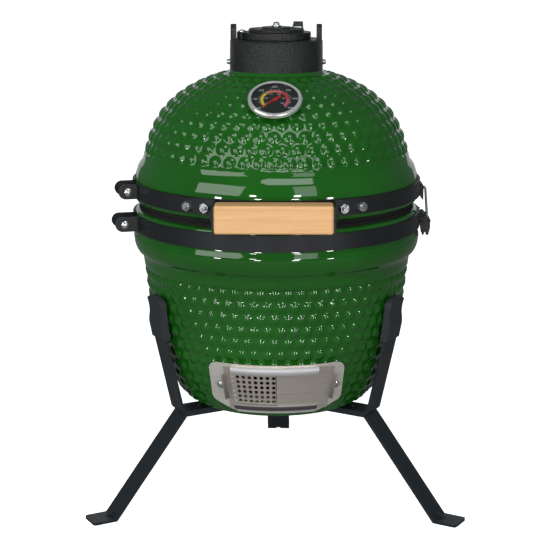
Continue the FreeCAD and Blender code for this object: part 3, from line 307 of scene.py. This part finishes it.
def sheet_material():
    """The sliders' sheet, duller, with painted shade on its thumb tabs, lighter higher up."""
    material = brushed_material("brushed_sheet_painted_shade", (0.46, 0.42, 0.37), (0.6, 0.6, 30.0), 0.34, 0.55)
    # Painted shade on the thumb tabs, darker towards the bottom.
    return paint_lip_light_and_shade(material, 0.0045, [(0.2, (0.16, 0.15, 0.14)), (0.8, (0.38, 0.36, 0.34))])


def zinc_material():
    """Bright plated steel of the bolts, nuts and studs."""
    material, bsdf = new_material("bright_zinc", (0.52, 0.53, 0.54), 0.24, metallic=0.95)
    worn = object_noise(material, 260.0, 4.0)
    ramp(material, worn.outputs["Fac"], [(0.35, 0.16), (0.7, 0.36)], bsdf.inputs["Roughness"])
    ramp(material, worn.outputs["Fac"], [(0.3, (0.40, 0.41, 0.42)), (0.7, (0.62, 0.63, 0.64))],
         bsdf.inputs["Base Color"])
    return material


def cast_material():
    """Black painted cast iron with a coarse sand-cast grain."""
    material, bsdf = new_material("cast_iron_paint", (0.004, 0.005, 0.006), 0.3, specular=0.5)
    grit = object_noise(material, 430.0, 4.0, rough=0.6)
    add_bump(material, bsdf, grit.outputs["Fac"], 1.0, 0.0018)
    tone = object_noise(material, 120.0, 4.0)
    ramp(material, tone.outputs["Fac"],
         [(0.3, (0.002, 0.003, 0.003)), (0.7, (0.006, 0.007, 0.008))], bsdf.inputs["Base Color"])
    ramp(material, tone.outputs["Fac"], [(0.3, 0.30), (0.7, 0.36)], bsdf.inputs["Roughness"])
    return material


def rubber_material():
    material, bsdf = new_material("moulded_rubber", (0.016, 0.020, 0.023), 0.55, specular=0.4)
    grain = object_noise(material, 500.0, 3.0)
    add_bump(material, bsdf, grain.outputs["Fac"], 0.2, 0.0003)
    patch = object_noise(material, 20.0, 3.0)
    ramp(material, patch.outputs["Fac"], [(0.3, 0.46), (0.7, 0.64)], bsdf.inputs["Roughness"])
    return material


def felt_material():
    material, bsdf = new_material("dark_felt", (0.014, 0.014, 0.014), 0.95, specular=0.1)
    fibre = object_noise(material, 700.0, 6.0, rough=0.75)
    add_bump(material, bsdf, fibre.outputs["Fac"], 0.9, 0.0012)
    ramp(material, fibre.outputs["Fac"],
         [(0.3, (0.007, 0.007, 0.008)), (0.7, (0.024, 0.024, 0.023))], bsdf.inputs["Base Color"])
    return material


def clay_material():
    material, bsdf = new_material("fire_clay", (0.55, 0.40, 0.27), 0.9, specular=0.2)
    grit = object_noise(material, 160.0, 6.0, rough=0.7)
    add_bump(material, bsdf, grit.outputs["Fac"], 0.6, 0.0012)
    ramp(material, grit.outputs["Fac"], [(0.3, (0.42, 0.29, 0.19)), (0.7, (0.62, 0.46, 0.32))],
         bsdf.inputs["Base Color"])
    return material


def wood_material():
    """Laminated bamboo: long fine grain along X, in strips of slightly different tone."""
    material, bsdf = new_material("bamboo", (0.78, 0.47, 0.22), 0.5, specular=0.35)
    grain = object_noise(material, 26.0, 7.0, stretch=(0.9, 16.0, 16.0), rough=0.62)
    strips = object_noise(material, 9.0, 1.0, stretch=(0.15, 9.0, 14.0))
    blend = add_node(material, "ShaderNodeMix", data_type="RGBA")
    shades = [(0.25, (0.50, 0.26, 0.095)), (0.5, (0.65, 0.37, 0.165)), (0.75, (0.74, 0.45, 0.225))]
    fine = ramp(material, grain.outputs["Fac"], shades, blend.inputs["A"])
    fine.color_ramp.interpolation = "EASE"
    ramp(material, strips.outputs["Fac"],
         [(0.35, (0.58, 0.31, 0.125)), (0.62, (0.73, 0.44, 0.21))], blend.inputs["B"])
    blend.inputs["Factor"].default_value = 0.42
    link(material, blend.outputs["Result"], bsdf.inputs["Base Color"])
    add_bump(material, bsdf, grain.outputs["Fac"], 0.22, 0.0005)
    ramp(material, grain.outputs["Fac"], [(0.3, 0.58), (0.7, 0.42)], bsdf.inputs["Roughness"])
    return material


def glass_material():
    material, bsdf = new_material("clear_glass", (0.02, 0.025, 0.025), 0.03)
    bsdf.inputs["Alpha"].default_value = 0.16
    return material


def flat_paint(name, colour, roughness=0.45):
    """Even paint with a faint speckle."""
    material, bsdf = new_material(name, colour, roughness)
    speck = object_noise(material, 1200.0, 2.0)
    shade = tuple(part * 0.86 for part in colour)
    ramp(material, speck.outputs["Fac"], [(0.3, shade), (0.7, colour)], bsdf.inputs["Base Color"])
    return material


# ---------------------------------------------------------------- mesh helpers

def new_object(name, mesh, body, material, smooth=True):
    """An object that rides on a body and has one material, with the slot's name."""
    for polygon in mesh.polygons:
        polygon.use_smooth = smooth
    mesh.materials.append(material)
    obj = bpy.data.objects.new(name, mesh)
    scene.collection.objects.link(obj)
    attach(obj, body)
    return obj


def arc_points(start, end, radius, step):
    """Points on an arc: a positive radius turns to the left on the way."""
    a, b = Vector(start), Vector(end)
    chord = b - a
    reach = math.sqrt(radius * radius - chord.length_squared / 4)
    middle = (a + b) / 2 + Vector((-chord.y, chord.x)).normalized() * math.copysign(reach, radius)
    first = math.atan2(a.y - middle.y, a.x - middle.x)
    last = math.atan2(b.y - middle.y, b.x - middle.x)
    turn = (last - first + math.pi) % (2 * math.pi) - math.pi
    count = max(1, math.ceil(abs(turn * radius) / step))
    return [(middle.x + abs(radius) * math.cos(first + turn * k / count),
             middle.y + abs(radius) * math.sin(first + turn * k / count)) for k in range(count)]


def outline_points(corners, step):
    """Points along a chain of (radius, level) corners; a third number makes the next run an arc."""
    points = []
    for here, following in zip(corners, corners[1:]):
        if len(here) > 2:
            points += arc_points(here[:2], following[:2], here[2], step)
        else:
            length = math.dist(here[:2], following[:2])
            count = max(1, math.ceil(length / step))
            points += [tuple(here[axis] + (following[axis] - here[axis]) * k / count
                             for axis in (0, 1)) for k in range(count)]
    points.append(tuple(corners[-1][:2]))
    return points


# ---------------------------------------------------------------- ceramic shells

# The columns round a shell, the steps between its rows on the bumpy field, the rims, the chimney's
# neck, the foot and the inside, and the radius under which a row is one point.
COLUMNS = 600
FINE = 1.7
COARSE = 4.0
SHORT = 12.0
FLAT = 20.0
INSIDE = 15.0
POLE = 0.01

# The bumps: their height, the run over which they fade out at the field's edges, how far the first and
# the last row stay from the edges in row pitches, their share of the full size at the shell's axis, and
# the radius where they have the full size.
BUMP_HEIGHT = 2.5
BUMP_FADE = 2.5
ROW_START, ROW_END = 0.5, 0.3
BUMP_SHARE = 0.66
WIDEST = 160.0

# A shell's outline points, its rows of vertex numbers, its vertices, 1.0 for each one that is
# unglazed, and the rows of its bumpy field.
Shell = namedtuple("Shell", "points grid vertices bare bumpy")


def cap_height(distance, reach):
    """Height of a round bump at a distance from its centre."""
    if distance >= reach:
        return 0.0
    ball = (reach * reach + BUMP_HEIGHT * BUMP_HEIGHT) / (2 * BUMP_HEIGHT)
    return math.sqrt(ball * ball - distance * distance) - (ball - BUMP_HEIGHT)


def bump_lift(along, radius, angle, rows, reach):
    """The height of the dimpled surface over its hollows at a place on the shell."""
    best = 0.0
    for index, (centre, count, share) in enumerate(rows):
        if abs(along - centre) > reach * share:
            continue
        phase = 0.5 * (index % 2)
        turn = angle / (2 * math.pi) * count - phase
        sideways = (turn - round(turn)) * 2 * math.pi / count * radius
        best = max(best, cap_height(math.hypot(along - centre, sideways), reach * share))
    return best


def shell_rows(points, first, last, row_pitch, bump_pitch):
    """Arc length at each point, and the bump rows between two points, finer where it is narrower."""
    lengths = [0.0]
    for here, following in zip(points, points[1:]):
        lengths.append(lengths[-1] + math.dist(here, following))
    rows = []
    centre = lengths[first] + row_pitch * ROW_START
    while centre < lengths[last] - row_pitch * ROW_END:
        place = max(index for index, length in enumerate(lengths) if length <= centre)
        radius = points[place][0]
        share = BUMP_SHARE + (1 - BUMP_SHARE) * radius / WIDEST
        rows.append((centre, round(2 * math.pi * radius / (bump_pitch * share)), share))
        centre += row_pitch * share
    return lengths, rows


def shell_grid(runs, dimpled, inner, side, row_pitch, bump_pitch, reach, trim=None):
    """A surface of revolution with round bumps on one run.

    runs are (corners, step) pairs end to end, dimpled is the bumpy one's index, inner is the unglazed
    one's, and side is 1 where the outside is on the right of the way and -1 where it is on the left.
    Bumps of radius reach stand bump_pitch apart in rows row_pitch apart. trim changes the radius of a
    place on the bumpy run."""
    points = []
    first = last = 0
    inside = range(0)
    for index, (corners, step) in enumerate(runs):
        start = len(points)
        points += outline_points(corners, step)[:-1]
        if index == dimpled:
            first, last = start, len(points)
        if index == inner:
            inside = range(start, len(points) + 1)
    points.append(tuple(runs[-1][0][-1][:2]))
    lengths, rows = shell_rows(points, first, last, row_pitch, bump_pitch)
    grid = []
    vertices = []
    bare = []
    for index, (radius, level) in enumerate(points):
        unglazed = 1.0 if index in inside else 0.0
        if radius < POLE:
            grid.append([len(vertices)] * COLUMNS)
            vertices.append((0.0, 0.0, level * MM))
            bare.append(unglazed)
            continue
        ahead = points[min(index + 1, len(points) - 1)]
        behind = points[max(index - 1, 0)]
        run = Vector((ahead[0] - behind[0], ahead[1] - behind[1])).normalized() * side
        bumpy = first < index < last
        fade = 0.0
        if bumpy:
            edge = min(lengths[index] - lengths[first], lengths[last] - lengths[index])
            fade = min(1.0, edge / BUMP_FADE)
            fade = fade * fade * (3 - 2 * fade)
        indices = []
        for column in range(COLUMNS):
            angle = 2 * math.pi * column / COLUMNS
            lift = bump_lift(lengths[index], radius, angle, rows, reach) if bumpy else BUMP_HEIGHT
            offset = fade * (lift - BUMP_HEIGHT)
            far = radius + run.y * offset
            high = level - run.x * offset
            if trim and bumpy:
                far = trim(angle, far, high)
            indices.append(len(vertices))
            vertices.append((far * MM * math.sin(angle), -far * MM * math.cos(angle), high * MM))
            bare.append(unglazed)
        grid.append(indices)
    return Shell(points, grid, vertices, bare, range(first, last))


def finish_shell(name, surface, faces, body, material):
    """The shell's object, without the vertices that no face uses."""
    mesh = bpy.data.meshes.new(name)
    mesh.from_pydata(surface.vertices, [], faces)
    unglazed = mesh.attributes.new("unglazed", "FLOAT", "POINT")
    unglazed.data.foreach_set("value", surface.bare)
    work = bmesh.new()
    work.from_mesh(mesh)
    loose = [vertex for vertex in work.verts if not vertex.link_faces]
    bmesh.ops.delete(work, geom=loose, context="VERTS")
    bmesh.ops.recalc_face_normals(work, faces=work.faces)
    work.to_mesh(mesh)
    work.free()
    return new_object(name, mesh, body, material)


def ring_faces(rows, skip=None):
    """Quads (or triangles at a pole) between neighbouring rows."""
    faces = []
    for index, (low, high) in enumerate(zip(rows, rows[1:])):
        for column in range(COLUMNS):
            if skip and skip(index, column):
                continue
            following = (column + 1) % COLUMNS
            corners = [low[column], low[following], high[following], high[column]]
            unique = list(dict.fromkeys(corners))
            if len(unique) > 2:
                faces.append(unique)
    return faces


# Where the shells' runs meet, as (radius, level): the rims' inner corners, the ends of the bumpy runs
# and the top of the chimney's bore.
RIM_RADIUS = 149
LID_CORNER = (RIM_RADIUS, 370.2)
DOME_FOOT = (158.8, 426.2)
NECK_FOOT = (57, 523.2)
BORE_TOP = (36, 548)
BASE_CORNER = (RIM_RADIUS, 361)
WALL_TOP = (160.4, 292)
WALL_FOOT = (104, 125.5)


def lid_shell(material):
    """The dome, round from its rim's inner corner over the outside and back through the bore."""
    rim = [LID_CORNER, (166, 370.2, 4.0), (170, 374.2), (170, 394.2, 40.0), (167.2, 407.7, 16.0),
           (162, 416.7, -18.0), DOME_FOOT]
    dome = [(*DOME_FOOT, 122.0), (138.5, 476.2, 118.0), (106, 504.2, 180.0), NECK_FOOT]
    neck = [NECK_FOOT, (48.5, 526.6), (48.5, 548), BORE_TOP]
    inside = [BORE_TOP, (36, 506, -160.0), (95, 488.2, -120.0), (138, 430.2, -120.0),
              (RIM_RADIUS, 400.2), LID_CORNER]
    runs = [(rim, COARSE), (dome, FINE), (neck, SHORT), (inside, INSIDE)]
    surface = shell_grid(runs, dimpled=1, inner=3, side=1, row_pitch=15.6, bump_pitch=17.6, reach=7.2)
    faces = ring_faces(surface.grid[:-1] + [surface.grid[0]])
    shell = finish_shell("lid_ceramic", surface, faces, "lid", material)
    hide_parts("lid_shell")


# The levels and the half width in columns of the draft mouth, and of the land round it, which is sunk a
# little behind the frame.
DRAFT_LOW, DRAFT_HIGH = 149.0, 187.0
DRAFT_COLUMNS = 33
LAND_LOW, LAND_HIGH = 133.0, 202.5
LAND_COLUMNS = 62
LAND_SINK = 0.5


def draft_land(angle, far, level):
    """The flat conical land that the draft frame is screwed to."""
    azimuth = (math.degrees(angle) + 180) % 360 - 180
    if not LAND_LOW < level < LAND_HIGH or abs(azimuth) > LAND_COLUMNS * 360 / COLUMNS:
        return far
    return min(far, CONE_RADIUS + CONE_SLOPE * (level - CONE_LEVEL) - LAND_SINK)


def mouth_rows(surface):
    """The rows at the draft mouth's lower and upper edge, outside and then inside."""
    levels = [level for _, level in surface.points]
    outside = [min(surface.bumpy, key=lambda index: abs(levels[index] - edge))
               for edge in (DRAFT_LOW, DRAFT_HIGH)]
    inside = [index for index in range(surface.bumpy.start)
              if DRAFT_LOW - 1 < levels[index] < DRAFT_HIGH + 1]
    return *outside, inside[0], inside[-1]


def mouth_walls(grid, out_low, out_high, in_low, in_high):
    """Faces through the wall's thickness, all round the draft mouth."""
    faces = []
    for column in range(-DRAFT_COLUMNS, DRAFT_COLUMNS):
        here, following = column % COLUMNS, (column + 1) % COLUMNS
        for outer, inner in ((out_low, in_low), (out_high, in_high)):
            faces.append([grid[outer][here], grid[outer][following],
                          grid[inner][following], grid[inner][here]])
    for column in (COLUMNS - DRAFT_COLUMNS, DRAFT_COLUMNS):
        wall_out = [grid[index][column] for index in range(out_high, out_low + 1)]
        wall_in = [grid[index][column] for index in range(in_low, in_high + 1)]
        faces.append(wall_out + wall_in)
    return faces


def base_shell(material):
    """The lower body, from the inside's middle over the rim and down to the underside's middle."""
    inside = [(0, 147), (94, 147, 25.0), (110, 158, 140.0), (125, 200, 600.0), (137, 300, 90.0),
              (RIM_RADIUS, 335), BASE_CORNER]
    rim = [BASE_CORNER, (166, 361, -4.0), (170, 357), (170, 334.6, -12.0), (172.2, 323.6, -25.0),
           (167.6, 310, 12.0), (161.4, 300), WALL_TOP]
    wall = [WALL_TOP, (159.8, 285, -480.0), (139, 180, -117.0), (118, 135, -40.0), WALL_FOOT]
    foot = [(*WALL_FOOT, -40.0), (88, 122.6), (0, 122.6)]
    runs = [(inside, INSIDE), (rim, COARSE), (wall, FINE), (foot, FLAT)]
    surface = shell_grid(runs, dimpled=2, inner=0, side=-1, row_pitch=15.4, bump_pitch=15.8, reach=6.9,
                         trim=draft_land)
    out_low, out_high, in_low, in_high = mouth_rows(surface)

    def in_mouth(index, column):
        near = column < DRAFT_COLUMNS or column >= COLUMNS - DRAFT_COLUMNS
        return near and (in_low <= index < in_high or out_high <= index < out_low)

    faces = ring_faces(surface.grid, skip=in_mouth)
    faces += mouth_walls(surface.grid, out_low, out_high, in_low, in_high)
    shell = finish_shell("base_ceramic", surface, faces, "grill_base", material)
    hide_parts("base_shell")


# ---------------------------------------------------------------- thermometer face

GAUGE_REACH, GAUGE_LEVEL, GAUGE_TILT = 116.0, 498.2, math.radians(56.5)
DIAL_TOP = 3.3
ARC_INNER, ARC_OUTER = 13.0, 16.4
ARC_THICK = 0.08
ARC_STEP = 3.0
SCALE_START = 225
TICKS = 28
TICK_TURN = 10
TICKS_PER_LONG = 3
TICK_INNER, TICK_SHORT, TICK_LONG = 16.9, 17.8, 18.8
TICK_THICK = 0.07
TICK_HALF_ANGLE = 0.8
TEXT_THICK, TEXT_LIFT = 0.04, 0.05
# Rings of numbers: radius, text height, first angle, angle and number steps, and how many.
NUMBER_RINGS = ((22.6, 4.0, 220, 43, 100, 7), (10.4, 2.5, 215, 50, 50, 6))
FIRST_NUMBER = 50


def gauge_matrix():
    """From the gauge's own frame, with its face looking along +Z, to its place on the dome."""
    up = Vector((0, math.sin(GAUGE_TILT), math.cos(GAUGE_TILT)))
    out = Vector((0, -math.cos(GAUGE_TILT), math.sin(GAUGE_TILT)))
    turn = Matrix((Vector((1, 0, 0)), up, out)).transposed().to_4x4()
    return Matrix.Translation(Vector((0, -GAUGE_REACH, GAUGE_LEVEL)) * MM) @ turn


def dial_place(mesh):
    """Moves a mesh drawn in millimetres in the gauge's frame to its place."""
    mesh.transform(gauge_matrix() @ Matrix.Scale(MM, 4))


def ring_piece(inner, outer, start, end, level, thick):
    """Vertices and faces of a flat ring segment between two angles in degrees, from +X."""
    count = max(1, round(abs(end - start) / ARC_STEP))
    vertices = []
    faces = []
    for k in range(count + 1):
        angle = math.radians(start + (end - start) * k / count)
        for radius in (inner, outer):
            for height in (level, level + thick):
                vertices.append((radius * math.cos(angle), radius * math.sin(angle), height))
    for k in range(count):
        a, b = 4 * k, 4 * k + 4
        faces += [(a + 1, a + 3, b + 3, b + 1), (a, b, b + 2, a + 2), (a, a + 1, b + 1, b),
                  (a + 2, b + 2, b + 3, a + 3)]
    faces += [(0, 2, 3, 1), (4 * count, 4 * count + 1, 4 * count + 3, 4 * count + 2)]
    return vertices, faces


def dial_mesh(name, parts, material):
    """One object on the lid from several (vertices, faces) parts."""
    mesh = bpy.data.meshes.new(name)
    vertices = []
    faces = []
    for more_vertices, more_faces in parts:
        base = len(vertices)
        vertices += more_vertices
        faces += [tuple(base + index for index in face) for face in more_faces]
    mesh.from_pydata(vertices, [], faces)
    work = bmesh.new()
    work.from_mesh(mesh)
    bmesh.ops.recalc_face_normals(work, faces=work.faces)
    work.to_mesh(mesh)
    work.free()
    dial_place(mesh)
    return new_object(name, mesh, "lid", material, smooth=False)


def dial_text(words, radius, angle, height):
    """Vertices and faces of upright raised text, centred at a radius and an angle in degrees."""
    curve = bpy.data.curves.new("digits", "FONT")
    curve.body = words
    curve.size = height
    curve.align_x = "CENTER"
    curve.align_y = "CENTER"
    curve.extrude = TEXT_THICK
    holder = bpy.data.objects.new("digits", curve)
    scene.collection.objects.link(holder)
    bpy.context.view_layer.update()
    mesh = bpy.data.meshes.new_from_object(holder)
    turn = math.radians(angle)
    centre = (radius * math.cos(turn), radius * math.sin(turn), DIAL_TOP + TEXT_LIFT)
    mesh.transform(Matrix.Translation(centre))
    vertices = [tuple(vertex.co) for vertex in mesh.vertices]
    faces = [tuple(polygon.vertices) for polygon in mesh.polygons]
    bpy.data.objects.remove(holder)
    bpy.data.meshes.remove(mesh)
    return vertices, faces


def dial_face():
    """A generic temperature scale: coloured arc, ticks and numbers."""
    colours = (
        ("yellow", (0.86, 0.66, 0.05), SCALE_START, 135),
        ("orange", (0.85, 0.32, 0.10), 135, 110),
        ("pink", (0.85, 0.22, 0.24), 110, 60),
        ("red", (0.78, 0.05, 0.06), 60, 0),
        ("rose", (0.75, 0.14, 0.18), 0, -45),
    )
    for name, colour, start, end in colours:
        arc = ring_piece(ARC_INNER, ARC_OUTER, start, end, DIAL_TOP, ARC_THICK)
        dial_mesh(f"dial_arc_{name}", [arc], flat_paint(f"dial_{name}", colour))
    white = flat_paint("dial_white", (0.80, 0.80, 0.76))
    ticks = []
    for step in range(TICKS):
        angle = SCALE_START - TICK_TURN * step
        tip = TICK_SHORT if step % TICKS_PER_LONG else TICK_LONG
        ticks.append(ring_piece(TICK_INNER, tip, angle - TICK_HALF_ANGLE, angle + TICK_HALF_ANGLE,
                                DIAL_TOP, TICK_THICK))
    dial_mesh("dial_ticks", ticks, white)
    numbers = [dial_text(str(FIRST_NUMBER + number_step * k), radius, start - turn * k, height)
               for radius, height, start, turn, number_step, count in NUMBER_RINGS
               for k in range(count)]
    dial_mesh("dial_numbers", numbers, white)


# ---------------------------------------------------------------- finishes on the CAD nodes

EDGE_ANGLE = math.radians(40)


def finish_node(name, material, bevel=0.0, segments=2):
    """A better material on a CAD node, and edges rounded by a bevel in millimetres."""
    obj = nodes_of[name]
    if not obj.material_slots:
        obj.data.materials.append(material)
    for holder in obj.material_slots:
        holder.material = material
    if bevel:
        rounded = obj.modifiers.new("edges", "BEVEL")
        rounded.width = bevel * MM
        rounded.segments = segments
        rounded.limit_method = "ANGLE"
        rounded.angle_limit = EDGE_ANGLE
        rounded.harden_normals = False


def dress():
    """The two ceramic shells, the dial's face, and a finish for each CAD node."""
    glaze = glaze_material()
    powder = powder_material("satin_black", (0.008, 0.009, 0.011))
    leg_paint = powder_material("leg_black", (0.011, 0.015, 0.019))
    zinc = zinc_material()
    cast = cast_material()
    rubber = rubber_material()
    felt = felt_material()
    clay = clay_material()
    sheet = sheet_material()
    polished = brushed_material("polished_ring", (0.80, 0.79, 0.77), (0.5, 0.5, 0.5), 0.20, 0.7)
    dial = flat_paint("dial_black", (0.018, 0.024, 0.021), 0.35)
    red = flat_paint("needle_red", (0.72, 0.02, 0.015), 0.35)
    glass = glass_material()
    wood = wood_material()
    lid_shell(glaze)
    base_shell(glaze)
    for name in ("base_gasket", "lid_gasket", "chimney_gasket"):
        finish_node(name, felt)
    for name in ("base_band", "lid_band", "handle_bracket_left", "handle_bracket_right", "latch_base",
                 "latch_lever", "latch_keeper", "hinge_base_bracket", "hinge_lid_bracket"):
        finish_node(name, powder, 0.35)
    for side in ("front_left", "front_right", "rear"):
        finish_node(f"leg_{side}", leg_paint, 0.5)
        finish_node(f"cradle_arm_{side}", leg_paint, 0.5)
        finish_node(f"arm_pad_{side}", rubber, 0.9, 3)
    finish_node("stand_plate", leg_paint, 0.5)
    strap = powder_material("grey_strap", (0.13, 0.155, 0.165), 0.38)
    finish_node("latch_bail", strap, 0.3)
    for name in ("base_clamp_hardware", "lid_clamp_hardware", "handle_studs", "hinge_base_studs",
                 "hinge_lid_studs", "draft_frame_screws", "thermometer_nut", "thermometer_stem",
                 "hinge_pin", "stand_screws", "slide_pivot_bolt", "daisy_bolt", "collar_screws"):
        finish_node(name, zinc, 0.25)
    for name in ("handle_end_screws", "latch_pivot_pin", "latch_bail_pin"):
        finish_node(name, cast, 0.25)
    finish_node("draft_frame", frame_material())
    for name in ("draft_screen", "draft_door"):
        finish_node(name, sheet)
    for name in ("chimney_collar", "slide_disc", "daisy_wheel"):
        finish_node(name, cast, 0.6, 3)
    for name in ("charcoal_grate", "cooking_grate"):
        finish_node(name, cast, 0.3)
    for name in ("fire_box", "fire_ring"):
        finish_node(name, clay, 0.6)
    finish_node("handle_grip", wood, 0.3)
    finish_node("thermometer_bezel", polished, 0.25)
    finish_node("thermometer_dial", dial)
    finish_node("thermometer_lens", glass)
    finish_node("thermometer_needle", red)
    dial_face()


scene.view_settings.view_transform = "Standard"
add_camera()
add_world()
add_floor()
for soft_box in LIGHTS:
    add_area(*soft_box)
dress()
